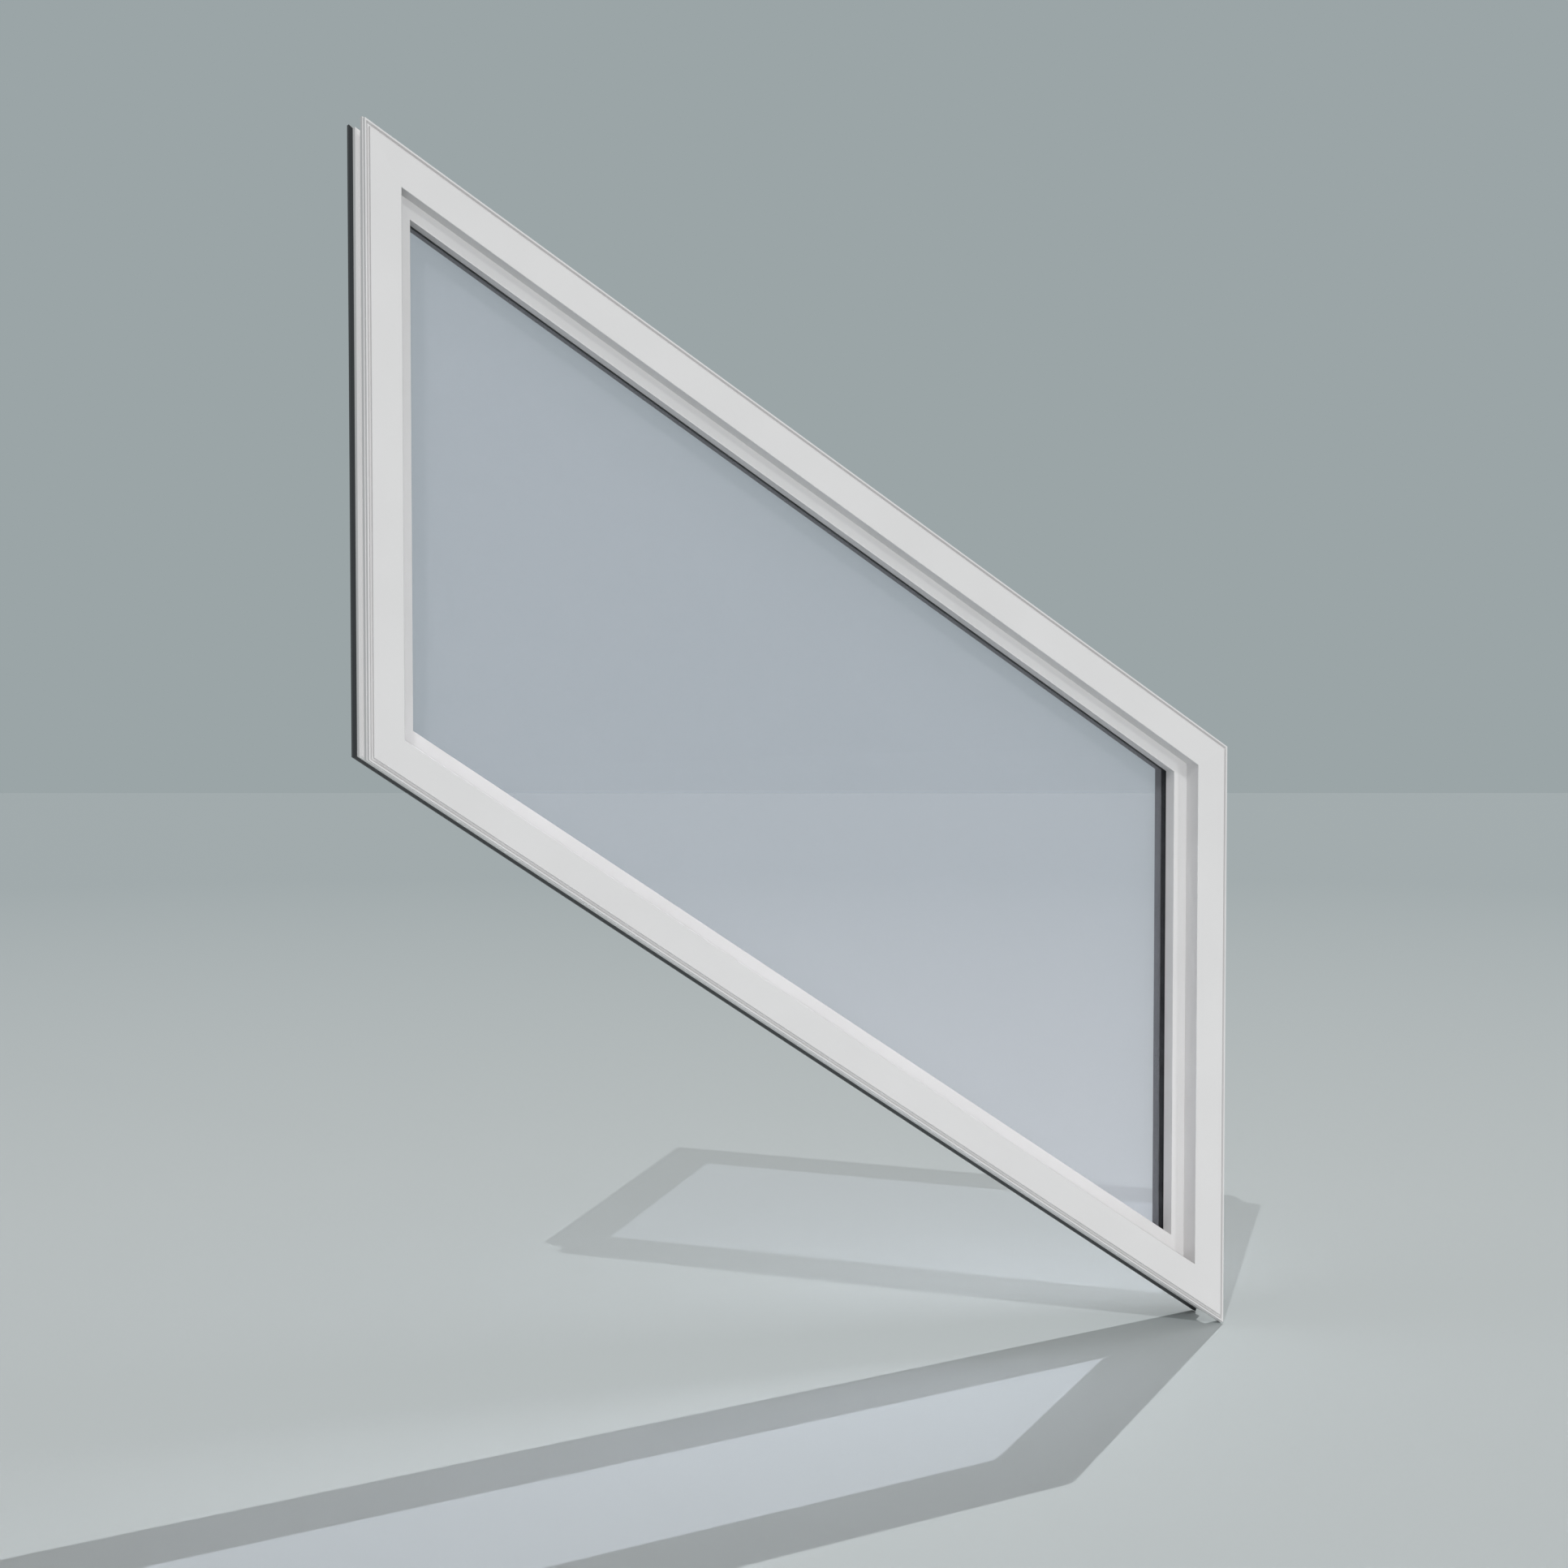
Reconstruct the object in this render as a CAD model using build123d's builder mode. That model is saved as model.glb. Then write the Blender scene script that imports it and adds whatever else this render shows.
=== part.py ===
from build123d import *
import os

# Fixed window in the shape of a parallelogram, as seen from the room:
# +X to the right, +Y out through the wall and +Z up, in millimetres.
# The origin is on the left jamb's flange, half way up and in the middle of its flat face.

# Overall size, measured over the flange
width = 914.4
side_height = 609.6
fall = 609.6
depth = 76.2

# Inside face of the frame, with the snap-in groove and lip round its edge
face_width = 30.2
face_edge_round = 1.0
face_inset = 5.4
groove_depth = 5.4
groove_floor_width = 1.65
lip_inset = 0.85
lip_thickness = 1.5
lip_setback = 2.3
edge_round = 0.4

# Flange that meets the wall opening, and the accessory channel behind it
flange_setback = 9.75
flange_width = 9.0
channel_depth = 8.0

# Walls of the hollow frame extrusion and webs between its chambers
frame_wall = 2.0
frame_web = 1.4

# Outer nose of the frame, measured forward from the outside face
nose_length = 26.3
nose_inset = 2.55
nose_chamfer = 1.7

# Dark cap, let into the nose so that its front edge is flush
cap_wall = 2.0
cap_wrap = 14.9
cap_lap = 0.6
cap_tip_length = 8.3
cap_tip_inset = 0.15
cap_taper = 0.1
cap_edge_round = 0.4

# Outside stop that the glass is bedded on
stop_depth = 12.0
stop_width = 13.0
reveal_taper = 0.9
tape_thickness = 0.6
tape_width = 7.0
tape_setback = 0.3

# Sealed glass unit
pane_thickness = 3.0
pane_gap = 12.7
edge_clearance = 4.4
spacer_setback = 2.0

# Glazing bead, which snaps into the frame by a tongue
bead_width = 14.4
bead_flare = 0.9
bead_setback = 27.15
bead_edge_round = 0.5
bead_wall = 1.5
seal_thickness = 0.6
seal_width = 6.0
seal_setback = 0.4
tongue_width = 3.0
tongue_reach = 2.0
tongue_offset = 5.0
tongue_clearance = 0.15

# Distances inward from the flange face
rebate = face_inset + face_width
bead_edge = rebate + bead_width
sight = bead_edge + bead_flare
stop_edge = rebate + stop_width
glass_edge = rebate + edge_clearance
cap_inside = stop_edge - cap_wall
cap_seat = nose_inset + cap_lap
slot_floor = rebate - tongue_reach - tongue_clearance
rebate_wall = rebate - frame_wall

# Distances back from the inside face
flange_back = flange_setback + flange_width
nose_front = depth - nose_length
nose_end = depth - cap_wall
cap_front = depth - cap_wrap
stop_face = depth - stop_depth
glass_back = stop_face - tape_thickness
glass_front = glass_back - 2 * pane_thickness - pane_gap
bead_back = glass_front - seal_thickness
tongue_back = bead_back - tongue_offset
tongue_front = tongue_back - tongue_width
slot_front = tongue_front - tongue_clearance
slot_back = tongue_back + tongue_clearance
pocket_front = slot_front - frame_wall
pocket_back = slot_back + frame_wall
front_web = flange_back - frame_wall
back_web = nose_front + frame_wall

# Edges of the frame's hollow chambers: left and right, then front and back
chambers = [
    (lip_inset + frame_wall, face_inset + frame_wall - frame_web, groove_depth + frame_wall, front_web),
    (face_inset + frame_wall, rebate_wall, frame_wall, front_web),
    (channel_depth + frame_wall, rebate_wall, front_web + frame_web, back_web - frame_web),
    (cap_seat + frame_wall, rebate_wall, back_web, nose_end - frame_wall),
    (rebate_wall + frame_web, cap_inside - frame_wall, stop_face + frame_wall, nose_end - frame_wall),
]

# Every section is drawn with X inward from the flange face and Y back from the inside face
with BuildSketch() as frame_chambers:
    for left, right, front, back in chambers:
        with Locations((left, front)):
            Rectangle(right - left, back - front, align=Align.MIN)
    with Locations((slot_floor - frame_wall, pocket_front)):
        Rectangle(rebate - slot_floor, pocket_back - pocket_front, align=Align.MIN, mode=Mode.SUBTRACT)

with BuildSketch() as frame_section:
    with BuildLine():
        Polyline(
            (face_inset, 0),
            (rebate, 0),
            (rebate, slot_front),
            (slot_floor, slot_front),
            (slot_floor, slot_back),
            (rebate, slot_back),
            (rebate, stop_face),
            (cap_inside, stop_face),
            (cap_inside, nose_end),
            (cap_seat, nose_end),
            (cap_seat, cap_front),
            (nose_inset, cap_front),
            (nose_inset, nose_front),
            (channel_depth, nose_front),
            (channel_depth, flange_back),
            (0, flange_back),
            (0, flange_setback),
            (lip_inset, flange_setback),
            (lip_inset, lip_setback),
            (lip_inset + lip_thickness, lip_setback),
            (face_inset - groove_floor_width, groove_depth),
            (face_inset, groove_depth),
            close=True,
        )
    make_face()
    flange_corners = frame_section.vertices().group_by(Axis.X)[0]
    face_corners, lip_corners = frame_section.vertices().group_by(Axis.Y)[:2]
    fillet(flange_corners + lip_corners + face_corners.sort_by(Axis.X)[:1], edge_round)
    fillet(frame_section.vertices().sort_by_distance((rebate, 0))[0], face_edge_round)
    chamfer(frame_section.vertices().sort_by_distance((nose_inset, nose_front))[0], nose_chamfer)
    add(frame_chambers.sketch, mode=Mode.SUBTRACT)

with BuildSketch() as cap_section:
    with BuildLine():
        Polyline(
            (cap_seat, cap_front),
            (nose_inset, cap_front),
            (cap_tip_inset, depth - cap_tip_length),
            (cap_tip_inset + cap_taper, depth),
            (stop_edge + reveal_taper, depth),
            (stop_edge, stop_face),
            (cap_inside, stop_face),
            (cap_inside, nose_end),
            (cap_seat, nose_end),
            close=True,
        )
    make_face()
    fillet(cap_section.vertices().group_by(Axis.Y)[-1], cap_edge_round)

with BuildSketch() as bead_section:
    with BuildLine():
        Polyline(
            (rebate, bead_setback),
            (bead_edge, bead_setback),
            (sight, bead_back),
            (rebate, bead_back),
            (rebate, tongue_back),
            (rebate - tongue_reach, tongue_back),
            (rebate - tongue_reach, tongue_front),
            (rebate, tongue_front),
            close=True,
        )
    make_face()
    fillet(bead_section.vertices().sort_by_distance((bead_edge, bead_setback))[0], bead_edge_round)
    with BuildLine():
        Polyline(
            (rebate + bead_wall, bead_setback + bead_wall),
            (bead_edge - bead_wall, bead_setback + bead_wall),
            (sight - bead_wall, bead_back - bead_wall),
            (rebate + bead_wall, bead_back - bead_wall),
            close=True,
        )
    make_face(mode=Mode.SUBTRACT)

with BuildSketch() as seal_section:
    with Locations((sight - seal_setback, bead_back)):
        Rectangle(seal_width, seal_thickness, align=(Align.MAX, Align.MIN))

with BuildSketch() as spacer_section:
    with Locations((glass_edge, glass_front + pane_thickness)):
        Rectangle(sight - spacer_setback - glass_edge, pane_gap, align=Align.MIN)

with BuildSketch() as tape_section:
    with Locations((stop_edge - tape_setback, glass_back)):
        Rectangle(tape_width, tape_thickness, align=(Align.MAX, Align.MIN))

sections = {
    "frame": frame_section,
    "cap": cap_section,
    "bead": bead_section,
    "bead_seal": seal_section,
    "spacer": spacer_section,
    "glazing_tape": tape_section,
}

# Corners of the flange, clockwise from the top left, level with the inside face
inside_y = -flange_setback - flange_width / 2
top = side_height / 2
corners = [
    Vector(0, inside_y, top),
    Vector(width, inside_y, top - fall),
    Vector(width, inside_y, -top - fall),
    Vector(0, inside_y, -top),
]
sides = ["head", "jamb_right", "sill", "jamb_left"]
ends = corners[1:] + corners[:1]
runs = [(end - start).normalized() for start, end in zip(corners, ends)]
mitres = [Plane(origin=corner, z_dir=runs[i - 1] + runs[i]) for i, corner in enumerate(corners)]

os.makedirs("parts", exist_ok=True)

# Each section runs along each side and is cut to the mitres at both ends
for i, side in enumerate(sides):
    start = corners[i]
    end = ends[i]
    run = runs[i]
    inward = Vector(0, 1, 0).cross(run)
    across = Plane(origin=(start + end) / 2, x_dir=inward, z_dir=run)
    for kind, section in sections.items():
        with BuildPart() as member:
            with BuildSketch(across):
                add(section.sketch)
            extrude(amount=(end - start).length, both=True)
            split(bisect_by=mitres[i], keep=Keep.TOP)
            split(bisect_by=mitres[(i + 1) % len(mitres)], keep=Keep.BOTTOM)
        member.part.label = f"{kind}_{side}"
        export_step(member.part, f"parts/{member.part.label}.step")

# The two panes follow the flange's outline, set in to the edge of the glass
pane_fronts = {"inner_pane": glass_front, "outer_pane": glass_back - pane_thickness}
for name, front in pane_fronts.items():
    with BuildPart() as pane:
        with BuildSketch(Plane.XZ.offset(-inside_y - front)):
            with BuildLine():
                Polyline(*[(corner.X, corner.Z) for corner in corners], close=True)
            make_face()
            offset(amount=-glass_edge, kind=Kind.INTERSECTION, mode=Mode.REPLACE)
        extrude(amount=-pane_thickness)
    pane.part.label = name
    export_step(pane.part, f"parts/{name}.step")
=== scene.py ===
"""Finishes and stage for a fixed parallelogram window: vinyl, painted caps, black seals and glass."""

import math

import bmesh
import bpy
from bpy.props import FloatProperty, FloatVectorProperty, PointerProperty
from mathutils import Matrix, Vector


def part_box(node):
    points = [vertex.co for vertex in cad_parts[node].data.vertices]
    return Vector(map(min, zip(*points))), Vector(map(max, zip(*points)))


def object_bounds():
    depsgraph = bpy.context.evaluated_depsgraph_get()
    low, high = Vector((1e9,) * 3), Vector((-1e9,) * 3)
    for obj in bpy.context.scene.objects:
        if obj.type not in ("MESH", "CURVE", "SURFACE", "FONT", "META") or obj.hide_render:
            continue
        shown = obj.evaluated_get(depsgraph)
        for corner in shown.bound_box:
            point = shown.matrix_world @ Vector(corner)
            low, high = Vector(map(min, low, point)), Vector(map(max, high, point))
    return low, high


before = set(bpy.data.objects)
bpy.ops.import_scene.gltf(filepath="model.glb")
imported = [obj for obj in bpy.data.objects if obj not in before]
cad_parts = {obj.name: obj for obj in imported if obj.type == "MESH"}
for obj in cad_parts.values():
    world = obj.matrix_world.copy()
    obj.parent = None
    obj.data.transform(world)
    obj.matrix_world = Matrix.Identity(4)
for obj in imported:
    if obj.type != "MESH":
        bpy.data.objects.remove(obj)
CAD_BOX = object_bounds()

bl_info = {
    "name": "Parallelogram Window Finishes",
    "version": (1, 0, 0),
    "blender": (4, 5, 0),
    "location": "3D View > Sidebar > Window",
    "description": "Gives a parallelogram window its finishes and sets it on a plain stage",
    "category": "Material",
}

UPRIGHT_SIDES = ("jamb_left", "jamb_right")
SLOPED_SIDES = ("head", "sill")

# How far the head falls for its width, read from the two uprights
LEFT_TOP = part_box("frame_jamb_left")[1].z
RIGHT_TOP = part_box("frame_jamb_right")[1].z
SLOPE = math.atan2(LEFT_TOP - RIGHT_TOP, CAD_BOX[1].x - CAD_BOX[0].x)

# Turn about Y that lays a texture's X along each kind of member
LAY = {"upright": math.pi / 2, "sloped": -SLOPE}
SIDES = {"upright": UPRIGHT_SIDES, "sloped": SLOPED_SIDES}

# Depths of the fine relief in each surface, in metres
PEEL_DEPTH = 0.00001
DRAW_LINE_DEPTH = 0.000004
PAINT_GRAIN_DEPTH = 0.00003
RUBBER_SPECK_DEPTH = 0.00002
SPACER_RIB_DEPTH = 0.00005
GLASS_WAVE_DEPTH = 0.00001

VINYL_INDEX = 1.53
SPACER_SPECULAR = 0.15

# Where the floor's painted pool of light starts and stops fading to the darker far grey, as shares of its
# reach, and its dull surface
POOL_FADE_START = 0.12
POOL_FADE_END = 0.6
FLOOR_ROUGHNESS = 0.9
FLOOR_SPECULAR = 0.1

ROOM_COLOUR = (1.0, 0.985, 0.98, 1)

# Directions from the window to each lamp
TO_KEY = (-0.390, -0.649, 0.653)
TO_BACK = (0.460, 0.584, 0.669)
TO_FILL = (-0.22, -0.975, 0.03)
TO_SIDE = (0.35, -0.94, 0.03)

SENSOR_WIDTH = 36


def colour_setting(name, description, default):
    """A colour that shows as a swatch in the sidebar."""
    return FloatVectorProperty(
        name=name, description=description, subtype="COLOR", size=3, min=0, max=1, default=default
    )


def share_setting(name, description, default):
    """A number from 0 to 1 that shows as a slider in the sidebar."""
    return FloatProperty(name=name, description=description, subtype="FACTOR", min=0, max=1, default=default)


def length_setting(name, description, default):
    """A length in metres."""
    return FloatProperty(
        name=name,
        description=description,
        subtype="DISTANCE",
        unit="LENGTH",
        min=0,
        precision=5,
        default=default,
    )


class FinishSettings(bpy.types.PropertyGroup):
    """Colours and grain of the window's own surfaces"""

    vinyl_colour: colour_setting("Vinyl", "White of the frame and beads", (0.722, 0.714, 0.714))
    vinyl_roughness: share_setting("Vinyl roughness", "Satin of the extruded vinyl", 0.42)
    vinyl_unevenness: share_setting("Vinyl unevenness", "How much the white varies along a member", 0.03)
    draw_line_spacing: length_setting("Draw lines", "Distance between the extrusion's faint lines", 0.0011)
    draw_line_length: length_setting("Draw line length", "How far a draw line runs before it fades", 0.45)
    peel_size: length_setting("Surface ripple", "Size of the fine ripple in the vinyl skin", 0.0024)

    cap_colour: colour_setting("Cap paint", "Charcoal paint of the outside caps", (0.030, 0.032, 0.035))
    cap_roughness: share_setting("Cap roughness", "Matt of the cap paint", 0.55)
    cap_grain: length_setting("Cap grain", "Size of the fine texture in the paint", 0.0006)

    seal_colour: colour_setting("Seals", "Black of the rubber seals and glazing tape", (0.012, 0.012, 0.013))
    seal_roughness: share_setting("Seal roughness", "Dullness of the rubber", 0.7)
    seal_grain: length_setting("Seal grain", "Size of the specks in the rubber", 0.0005)

    spacer_colour: colour_setting("Spacers", "Black of the bars between the panes", (0.010, 0.010, 0.011))
    spacer_roughness: share_setting("Spacer roughness", "Dullness of the spacer bars", 0.55)
    spacer_rib: length_setting("Spacer ribs", "Distance between the fine ribs along a spacer", 0.0016)

    glass_tint: colour_setting(
        "Glass tint", "Colour that a pane gives to what is behind it", (0.985, 0.99, 0.99)
    )
    glass_sheen: colour_setting("Glass sheen", "Colour of a pane's reflection", (0.30, 0.29, 0.32))
    coating_tint: colour_setting(
        "Coating tint", "Cool colour of the outer pane's coating", (0.935, 0.935, 0.99)
    )
    coating_haze: share_setting(
        "Coating haze", "Share of light that the outer pane's coating scatters", 0.074
    )
    glass_index: FloatProperty(
        name="Glass index", description="Refractive index of the panes", min=1, max=2, default=1.52
    )
    glass_wave: length_setting("Glass wave", "Length of the faint roller wave in the panes", 0.24)


class StageSettings(bpy.types.PropertyGroup):
    """Floor, background, lamps and camera"""

    # Painted pool of light: the floor gets a paler grey round the window and a darker grey far off, standing
    # in for light that falls off away from the window.
    floor_pool_colour: colour_setting("Floor", "Pale grey of the floor round the window", (0.600, 0.650, 0.655))
    floor_far_shade_colour: colour_setting("Floor edge", "Grey of the floor far off", (0.450, 0.512, 0.526))
    floor_reach: length_setting("Floor reach", "How far the floor reaches on each side of the window", 9.66)
    backdrop_colour: colour_setting("Background", "Colour seen behind the floor", (0.328, 0.376, 0.386))
    room_light: FloatProperty(
        name="Room light", description="Strength of the soft light from all round", min=0, default=0.31
    )
    key_light: FloatProperty(
        name="Key light",
        description="Strength of the far lamp in front, high on the left",
        min=0,
        default=0.70,
    )
    back_light: FloatProperty(
        name="Back light",
        description="Strength of the far lamp behind, high on the right",
        min=0,
        default=1.42,
    )
    fill_light: FloatProperty(
        name="Fill light", description="Strength of the low lamp in front, on the left", min=0, default=1.16
    )
    side_light: FloatProperty(
        name="Side light", description="Strength of the low lamp in front, on the right", min=0, default=0.33
    )
    lamp_angle: FloatProperty(
        name="Lamp angle",
        description="How wide the key and back lamps look, which softens their shadows",
        subtype="ANGLE",
        unit="ROTATION",
        min=0,
        default=math.radians(0.2),
    )
    wide_angle: FloatProperty(
        name="Wide lamp angle",
        description="How wide the fill and side lamps look",
        subtype="ANGLE",
        unit="ROTATION",
        min=0,
        default=math.radians(3),
    )
    lamp_distance: length_setting("Lamp distance", "How far off the lamps are drawn in the scene", 4.0)
    camera_place: FloatVectorProperty(
        name="Camera place",
        description="Where the camera stands, from the middle of the left jamb",
        subtype="TRANSLATION",
        unit="LENGTH",
        size=3,
        default=(-0.7248, -3.1848, -0.1458),
    )
    camera_turn: FloatProperty(
        name="Camera turn",
        description="Camera's heading to the right of straight ahead",
        subtype="ANGLE",
        unit="ROTATION",
        default=math.radians(19.859),
    )
    camera_dip: FloatProperty(
        name="Camera dip",
        description="How far the camera looks down",
        subtype="ANGLE",
        unit="ROTATION",
        default=math.radians(3.210),
    )
    camera_lens: FloatProperty(
        name="Lens", description="Focal length on a 36 mm sensor", unit="CAMERA", min=1, default=77.93
    )


def add_node(tree, kind, inputs=None, **settings):
    """Add one node, with its settings and with each input either linked or set."""
    node = tree.nodes.new(kind)
    for name, value in settings.items():
        setattr(node, name, value)
    for name, value in (inputs or {}).items():
        if isinstance(value, bpy.types.NodeSocket):
            tree.links.new(value, node.inputs[name])
        else:
            node.inputs[name].default_value = value
    return node


def new_finish(name):
    """An empty material with one main shader, as (material, node tree, shader)."""
    material = bpy.data.materials.new(name)
    material.use_nodes = True
    tree = material.node_tree
    tree.nodes.clear()
    shader = add_node(tree, "ShaderNodeBsdfPrincipled")
    add_node(tree, "ShaderNodeOutputMaterial", {"Surface": shader.outputs["BSDF"]})
    return material, tree, shader


def along_member(tree, turn):
    """Texture places in metres, with X along the member."""
    places = add_node(tree, "ShaderNodeTexCoord")
    laid = add_node(
        tree, "ShaderNodeMapping", {"Vector": places.outputs["Object"], "Rotation": (0, turn, 0)}
    )
    return laid.outputs["Vector"]


def speckle(tree, places, size, detail=2.0, stretch=1.0):
    """Soft random shade from 0 to 1, in patches of that size, drawn out along X by stretch."""
    scaled = add_node(
        tree, "ShaderNodeMapping", {"Vector": places, "Scale": (1 / (size * stretch), 1 / size, 1 / size)}
    )
    noise = add_node(
        tree, "ShaderNodeTexNoise", {"Vector": scaled.outputs["Vector"], "Scale": 1.0, "Detail": detail}
    )
    return noise.outputs["Fac"]


def spread(tree, shade, low, high):
    """The same shade, read from the middle of the noise's range out to low and high."""
    ranged = add_node(
        tree,
        "ShaderNodeMapRange",
        {"Value": shade, "From Min": 0.3, "From Max": 0.7, "To Min": low, "To Max": high},
    )
    return ranged.outputs["Result"]


def shade_colour(tree, colour, shade, unevenness):
    """Colour that darkens by up to unevenness where the shade is low."""
    darker = [channel * (1 - unevenness) for channel in colour]
    mixed = add_node(
        tree,
        "ShaderNodeMix",
        {"Factor": spread(tree, shade, 0.0, 1.0)},
        data_type="RGBA",
    )
    mixed.inputs["A"].default_value = (*darker, 1)
    mixed.inputs["B"].default_value = (*colour, 1)
    return mixed.outputs["Result"]


def emboss(tree, height, depth, strength=1.0, under=None):
    """Bump of that depth in metres, on top of another bump if one is given."""
    inputs = {"Height": height, "Distance": depth, "Strength": strength}
    if under is not None:
        inputs["Normal"] = under
    return add_node(tree, "ShaderNodeBump", inputs).outputs["Normal"]


def vinyl_finish(name, finish, turn):
    """Satin white vinyl with faint draw lines and a fine ripple in its skin."""
    material, tree, shader = new_finish(name)
    places = along_member(tree, turn)
    lines = speckle(
        tree,
        places,
        finish.draw_line_spacing,
        stretch=finish.draw_line_length / finish.draw_line_spacing,
    )
    peel = speckle(tree, places, finish.peel_size)
    cloud = speckle(tree, places, 40 * finish.peel_size)
    tree.links.new(
        shade_colour(tree, finish.vinyl_colour, cloud, finish.vinyl_unevenness), shader.inputs["Base Color"]
    )
    tree.links.new(
        spread(tree, lines, finish.vinyl_roughness - 0.05, finish.vinyl_roughness + 0.05),
        shader.inputs["Roughness"],
    )
    ripple = emboss(tree, peel, PEEL_DEPTH)
    tree.links.new(emboss(tree, lines, DRAW_LINE_DEPTH, under=ripple), shader.inputs["Normal"])
    shader.inputs["IOR"].default_value = VINYL_INDEX
    return material


def cap_finish(name, finish, turn):
    """Matt charcoal paint with a fine sprayed grain."""
    material, tree, shader = new_finish(name)
    places = along_member(tree, turn)
    grain = speckle(tree, places, finish.cap_grain, detail=3.0)
    cloud = speckle(tree, places, 90 * finish.cap_grain)
    tree.links.new(shade_colour(tree, finish.cap_colour, cloud, 0.12), shader.inputs["Base Color"])
    tree.links.new(
        spread(tree, grain, finish.cap_roughness - 0.08, finish.cap_roughness + 0.1),
        shader.inputs["Roughness"],
    )
    tree.links.new(emboss(tree, grain, PAINT_GRAIN_DEPTH, strength=0.6), shader.inputs["Normal"])
    return material


def seal_finish(name, finish):
    """Dull black rubber with fine specks."""
    material, tree, shader = new_finish(name)
    places = along_member(tree, 0.0)
    specks = speckle(tree, places, finish.seal_grain, detail=3.0)
    tree.links.new(shade_colour(tree, finish.seal_colour, specks, 0.25), shader.inputs["Base Color"])
    tree.links.new(
        spread(tree, specks, finish.seal_roughness - 0.1, finish.seal_roughness + 0.1),
        shader.inputs["Roughness"],
    )
    tree.links.new(emboss(tree, specks, RUBBER_SPECK_DEPTH, strength=0.5), shader.inputs["Normal"])
    return material


def spacer_finish(name, finish, turn):
    """Black spacer bar with fine ribs along it."""
    material, tree, shader = new_finish(name)
    places = along_member(tree, turn)
    ribs = add_node(
        tree,
        "ShaderNodeTexWave",
        {"Vector": places, "Scale": math.pi / (10 * finish.spacer_rib), "Distortion": 0.2},
        wave_type="BANDS",
        bands_direction="Y",
    ).outputs["Fac"]
    cloud = speckle(tree, places, 10 * finish.spacer_rib)
    tree.links.new(shade_colour(tree, finish.spacer_colour, cloud, 0.2), shader.inputs["Base Color"])
    tree.links.new(
        spread(tree, cloud, finish.spacer_roughness - 0.08, finish.spacer_roughness + 0.08),
        shader.inputs["Roughness"],
    )
    tree.links.new(emboss(tree, ribs, SPACER_RIB_DEPTH, strength=0.5), shader.inputs["Normal"])
    shader.inputs["Specular IOR Level"].default_value = SPACER_SPECULAR
    return material


def glass_finish(name, finish, tint, haze):
    """Float glass with a faint roller wave, which lets the lamps' light through."""
    material, tree, shader = new_finish(name)
    places = along_member(tree, 0.0)
    wave = speckle(tree, places, finish.glass_wave, detail=0.0)
    tree.links.new(emboss(tree, wave, GLASS_WAVE_DEPTH), shader.inputs["Normal"])
    shader.inputs["Base Color"].default_value = (*tint, 1)
    shader.inputs["Roughness"].default_value = 0.0
    shader.inputs["IOR"].default_value = finish.glass_index
    shader.inputs["Transmission Weight"].default_value = 1 - haze
    shader.inputs["Specular Tint"].default_value = (*finish.glass_sheen, 1)
    clear = add_node(tree, "ShaderNodeBsdfTransparent", {"Color": (*tint, 1)})
    path = add_node(tree, "ShaderNodeLightPath")
    passed = add_node(tree, "ShaderNodeMixShader", {"Fac": path.outputs["Is Shadow Ray"]})
    tree.links.new(shader.outputs["BSDF"], passed.inputs[1])
    tree.links.new(clear.outputs["BSDF"], passed.inputs[2])
    output = next(node for node in tree.nodes if node.type == "OUTPUT_MATERIAL")
    tree.links.new(passed.outputs["Shader"], output.inputs["Surface"])
    return material


def dress(node_name, material):
    """Give one CAD piece its finish."""
    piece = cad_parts[node_name]
    piece.data.materials.clear()
    piece.data.materials.append(material)


def dress_members(kinds, make_finish, finish, name):
    """Finish every member of these kinds, with the grain laid along each one."""
    for lay, sides in SIDES.items():
        material = make_finish(f"{name}_{lay}", finish, LAY[lay])
        for kind in kinds:
            for side in sides:
                dress(f"{kind}_{side}", material)


class WINDOW_OT_finish_frame(bpy.types.Operator):
    """Give the frame members and the glazing beads their white vinyl"""

    bl_idname = "parallelogram_window.finish_frame"
    bl_label = "Frame and Beads"

    def execute(self, context):
        dress_members(("frame", "bead"), vinyl_finish, context.scene.window_finish, "white_vinyl")
        return {"FINISHED"}


class WINDOW_OT_finish_caps(bpy.types.Operator):
    """Give the outside caps their charcoal paint"""

    bl_idname = "parallelogram_window.finish_caps"
    bl_label = "Outside Caps"

    def execute(self, context):
        dress_members(("cap",), cap_finish, context.scene.window_finish, "charcoal_paint")
        return {"FINISHED"}


class WINDOW_OT_finish_seals(bpy.types.Operator):
    """Give the bead seals and the glazing tape their black rubber"""

    bl_idname = "parallelogram_window.finish_seals"
    bl_label = "Seals and Tape"

    def execute(self, context):
        material = seal_finish("black_rubber", context.scene.window_finish)
        for kind in ("bead_seal", "glazing_tape"):
            for side in UPRIGHT_SIDES + SLOPED_SIDES:
                dress(f"{kind}_{side}", material)
        return {"FINISHED"}


class WINDOW_OT_finish_spacers(bpy.types.Operator):
    """Give the spacer bars between the panes their ribbed black"""

    bl_idname = "parallelogram_window.finish_spacers"
    bl_label = "Spacers"

    def execute(self, context):
        dress_members(("spacer",), spacer_finish, context.scene.window_finish, "black_spacer")
        return {"FINISHED"}


class WINDOW_OT_finish_glass(bpy.types.Operator):
    """Give the inner pane clear glass and the outer pane coated glass"""

    bl_idname = "parallelogram_window.finish_glass"
    bl_label = "Glass"

    def execute(self, context):
        finish = context.scene.window_finish
        dress("inner_pane", glass_finish("clear_glass", finish, finish.glass_tint, 0.0))
        dress("outer_pane", glass_finish("coated_glass", finish, finish.coating_tint, finish.coating_haze))
        return {"FINISHED"}


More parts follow.
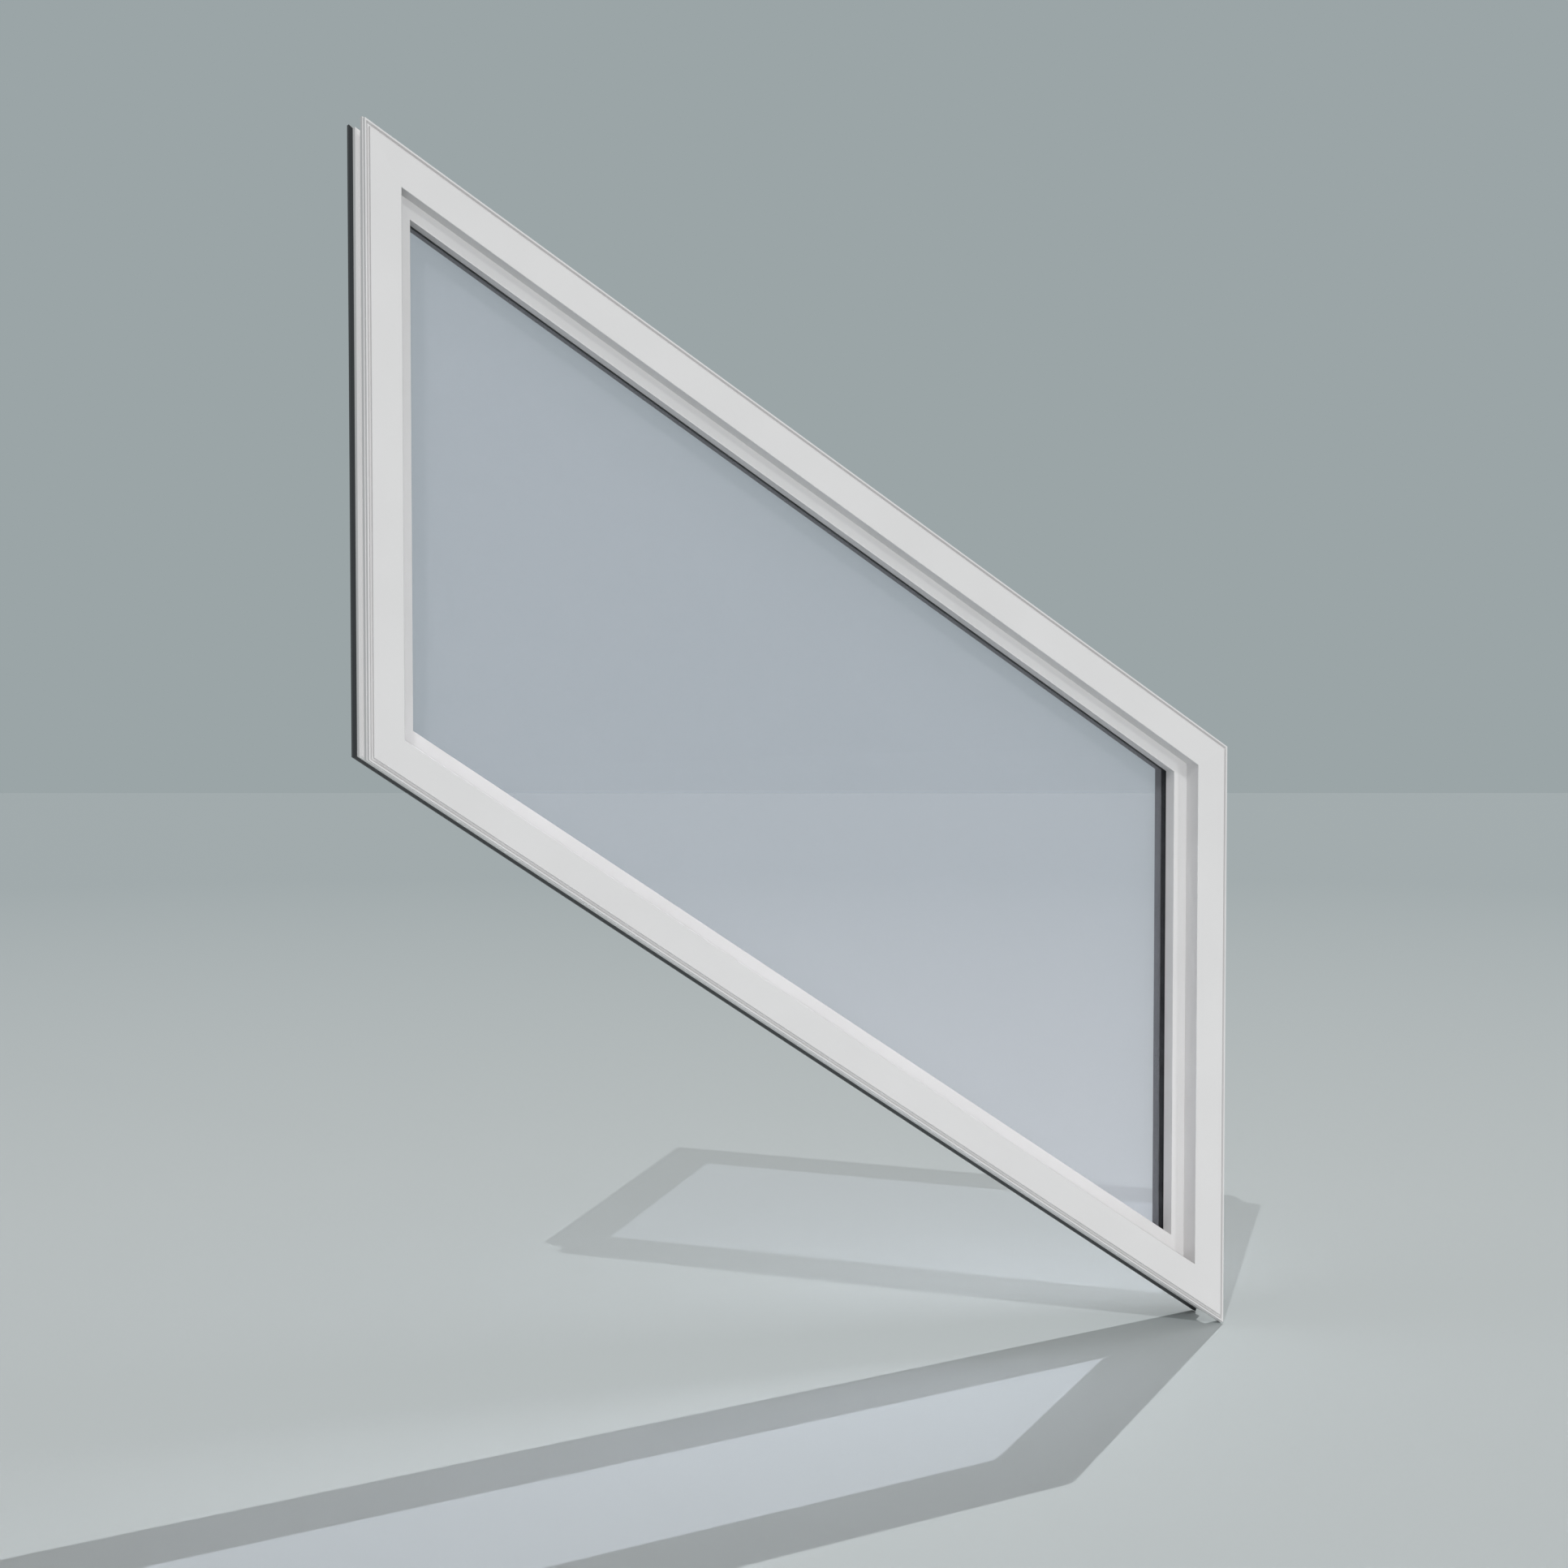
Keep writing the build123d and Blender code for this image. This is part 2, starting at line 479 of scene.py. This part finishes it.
def add_floor(stage):
    """Plain square floor at the window's lowest corner, with its far edge level in the camera's view. Its
    colour holds a painted pool of light: paler round the window, darker far off.
    """
    middle = (CAD_BOX[0] + CAD_BOX[1]) / 2
    shape = bmesh.new()
    bmesh.ops.create_grid(shape, x_segments=1, y_segments=1, size=stage.floor_reach)
    mesh = bpy.data.meshes.new("floor")
    shape.to_mesh(mesh)
    shape.free()
    floor = bpy.data.objects.new("floor", mesh)
    floor.location = (middle.x, middle.y, CAD_BOX[0].z)
    floor.rotation_euler.z = -stage.camera_turn
    bpy.context.scene.collection.objects.link(floor)
    material, tree, shader = new_finish("floor_with_painted_pool")
    places = add_node(tree, "ShaderNodeTexCoord")
    reach = add_node(tree, "ShaderNodeVectorMath", {0: places.outputs["Object"]}, operation="LENGTH")
    share = add_node(
        tree, "ShaderNodeMath", {0: reach.outputs["Value"], 1: stage.floor_reach}, operation="DIVIDE"
    )
    # Painted pool of light: the colour runs from the pale grey round the window to the darker far grey,
    # standing in for light that falls off.
    painted_pool_ramp = add_node(tree, "ShaderNodeValToRGB", {"Fac": share.outputs["Value"]})
    near, far = painted_pool_ramp.color_ramp.elements
    near.position = POOL_FADE_START
    near.color = (*stage.floor_pool_colour, 1)
    far.position = POOL_FADE_END
    far.color = (*stage.floor_far_shade_colour, 1)
    tree.links.new(painted_pool_ramp.outputs["Color"], shader.inputs["Base Color"])
    shader.inputs["Roughness"].default_value = FLOOR_ROUGHNESS
    shader.inputs["Specular IOR Level"].default_value = FLOOR_SPECULAR
    mesh.materials.append(material)


def add_world(stage):
    """Soft light from all round, with the background's own colour where it is seen."""
    world = bpy.data.worlds.new("studio")
    bpy.context.scene.world = world
    world.use_nodes = True
    tree = world.node_tree
    tree.nodes.clear()
    path = add_node(tree, "ShaderNodeLightPath")
    mirrored = add_node(tree, "ShaderNodeMath", operation="MAXIMUM")
    tree.links.new(path.outputs["Is Glossy Ray"], mirrored.inputs[0])
    tree.links.new(path.outputs["Is Transmission Ray"], mirrored.inputs[1])
    seen = add_node(tree, "ShaderNodeMath", operation="MAXIMUM")
    tree.links.new(path.outputs["Is Camera Ray"], seen.inputs[0])
    tree.links.new(mirrored.outputs["Value"], seen.inputs[1])
    room = add_node(tree, "ShaderNodeBackground", {"Color": ROOM_COLOUR, "Strength": stage.room_light})
    backdrop = add_node(
        tree, "ShaderNodeBackground", {"Color": (*stage.backdrop_colour, 1), "Strength": 1.0}
    )
    mixed = add_node(tree, "ShaderNodeMixShader", {"Fac": seen.outputs["Value"]})
    tree.links.new(room.outputs["Background"], mixed.inputs[1])
    tree.links.new(backdrop.outputs["Background"], mixed.inputs[2])
    add_node(tree, "ShaderNodeOutputWorld", {"Surface": mixed.outputs["Shader"]})


def add_lamp(name, strength, angle, toward, stage):
    """Far lamp that lights the window and the whole floor from one direction, out of the camera's sight."""
    lamp = bpy.data.lights.new(name, "SUN")
    lamp.energy = strength
    lamp.angle = angle
    holder = bpy.data.objects.new(name, lamp)
    holder.location = (CAD_BOX[0] + CAD_BOX[1]) / 2 + Vector(toward).normalized() * stage.lamp_distance
    holder.rotation_euler = Vector(toward).to_track_quat("Z", "Y").to_euler()
    holder.visible_camera = False
    # The panes pass the lamp's light as shadow rays, and the lamp itself isn't seen through them
    holder.visible_transmission = False
    bpy.context.scene.collection.objects.link(holder)
    return holder


def add_wide_lamp(name, strength, toward, stage):
    """Level lamp that reaches into the recess round the glass and isn't mirrored in it."""
    holder = add_lamp(name, strength, stage.wide_angle, toward, stage)
    holder.visible_glossy = False


def add_camera(stage):
    """Camera at the height and angle of the reference view."""
    camera = bpy.data.cameras.new("camera")
    camera.sensor_width = SENSOR_WIDTH
    camera.lens = stage.camera_lens
    holder = bpy.data.objects.new("camera", camera)
    holder.location = stage.camera_place
    holder.rotation_euler = (math.pi / 2 - stage.camera_dip, 0, -stage.camera_turn)
    bpy.context.scene.collection.objects.link(holder)
    bpy.context.scene.camera = holder


class WINDOW_OT_set_stage(bpy.types.Operator):
    """Set the window on a plain floor with lamps, a background and a camera"""

    bl_idname = "parallelogram_window.set_stage"
    bl_label = "Stage"

    def execute(self, context):
        stage = context.scene.window_stage
        add_floor(stage)
        add_world(stage)
        add_lamp("key_lamp", stage.key_light, stage.lamp_angle, TO_KEY, stage)
        add_lamp("back_lamp", stage.back_light, stage.lamp_angle, TO_BACK, stage)
        add_wide_lamp("fill_lamp", stage.fill_light, TO_FILL, stage)
        add_wide_lamp("side_lamp", stage.side_light, TO_SIDE, stage)
        add_camera(stage)
        context.scene.view_settings.view_transform = "Standard"
        return {"FINISHED"}


class WINDOW_PT_sidebar(bpy.types.Panel):
    """Lists the finishes and the stage of the window"""

    bl_idname = "WINDOW_PT_sidebar"
    bl_label = "Parallelogram Window"
    bl_space_type = "VIEW_3D"
    bl_region_type = "UI"
    bl_category = "Window"

    def draw(self, context):
        layout = self.layout
        for step in STEPS:
            layout.operator(step.bl_idname)
        for settings in (context.scene.window_finish, context.scene.window_stage):
            column = layout.column()
            for name in settings.bl_rna.properties.keys():
                if name not in ("rna_type", "name"):
                    column.prop(settings, name)


STEPS = (
    WINDOW_OT_finish_frame,
    WINDOW_OT_finish_caps,
    WINDOW_OT_finish_seals,
    WINDOW_OT_finish_spacers,
    WINDOW_OT_finish_glass,
    WINDOW_OT_set_stage,
)
CLASSES = (FinishSettings, StageSettings, *STEPS, WINDOW_PT_sidebar)


def register():
    """Make the settings, steps and panel known to Blender."""
    for each in CLASSES:
        bpy.utils.register_class(each)
    bpy.types.Scene.window_finish = PointerProperty(type=FinishSettings)
    bpy.types.Scene.window_stage = PointerProperty(type=StageSettings)


def unregister():
    """Take the settings, steps and panel away again."""
    del bpy.types.Scene.window_stage
    del bpy.types.Scene.window_finish
    for each in reversed(CLASSES):
        bpy.utils.unregister_class(each)


def main():
    """Register the steps, finish every piece and set the stage."""
    register()
    bpy.ops.parallelogram_window.finish_frame()
    bpy.ops.parallelogram_window.finish_caps()
    bpy.ops.parallelogram_window.finish_seals()
    bpy.ops.parallelogram_window.finish_spacers()
    bpy.ops.parallelogram_window.finish_glass()
    bpy.ops.parallelogram_window.set_stage()


if __name__ == "__main__":
    main()
